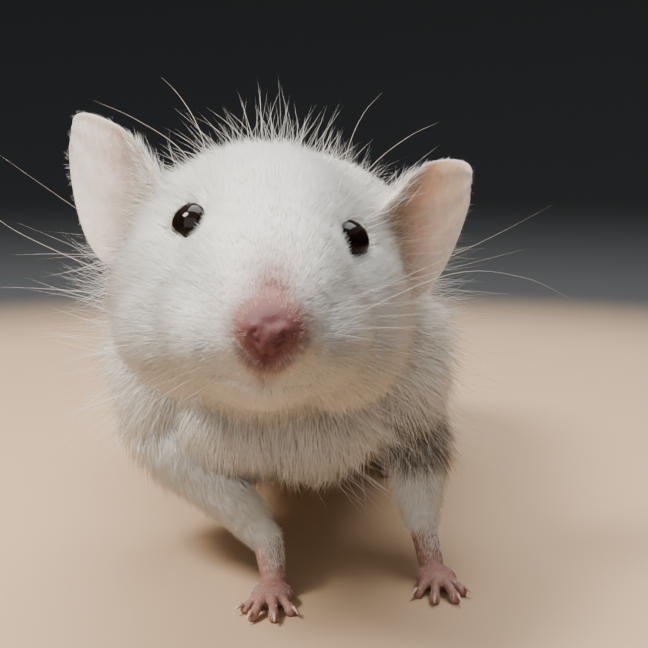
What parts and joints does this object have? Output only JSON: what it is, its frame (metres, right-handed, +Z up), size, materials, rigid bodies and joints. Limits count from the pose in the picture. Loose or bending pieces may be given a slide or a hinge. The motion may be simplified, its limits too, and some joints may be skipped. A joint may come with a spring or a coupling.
{
  "type": "mouse",
  "caption": "Still life-size model of a white pet mouse standing with its head raised, with large thin ears, dark eyes and a long bare tail.",
  "frame": {"origin": "middle of the mouse's bounding box in plan, at the level of its soles", "axes": "+Y from the nose to the tip of the tail, so the mouse faces -Y; +X to the mouse's own left side; +Z up"},
  "size_m": [0.0312, 0.1536, 0.035],
  "materials": {
    "coat": "soft short white fur",
    "bare_skin": "thin pink skin, soft sheen",
    "nose": "damp dark pink skin",
    "eye": "glossy black",
    "claw": "pale translucent horn"
  },
  "bodies": {
    "root": {"ear_left": "bare_skin", "ear_right": "bare_skin", "eye_left": "eye", "eye_right": "eye", "forefoot_left": "bare_skin", "forefoot_left_claw_1": "claw", "forefoot_left_claw_2": "claw", "forefoot_left_claw_3": "claw", "forefoot_left_claw_4": "claw", "forefoot_right": "bare_skin", "forefoot_right_claw_1": "claw", "forefoot_right_claw_2": "claw", "forefoot_right_claw_3": "claw", "forefoot_right_claw_4": "claw", "foreleg_left": "coat", "foreleg_right": "coat", "head": "coat", "hindfoot_left": "bare_skin", "hindfoot_left_claw_1": "claw", "hindfoot_left_claw_2": "claw", "hindfoot_left_claw_3": "claw", "hindfoot_left_claw_4": "claw", "hindfoot_left_claw_5": "claw", "hindfoot_right": "bare_skin", "hindfoot_right_claw_1": "claw", "hindfoot_right_claw_2": "claw", "hindfoot_right_claw_3": "claw", "hindfoot_right_claw_4": "claw", "hindfoot_right_claw_5": "claw", "hindleg_left": "coat", "hindleg_right": "coat", "neck": "coat", "nose": "nose", "tail_1": "bare_skin", "tail_2": "bare_skin", "tail_3": "bare_skin", "tail_4": "bare_skin", "trunk": "coat"}
  },
  "joints": []
}
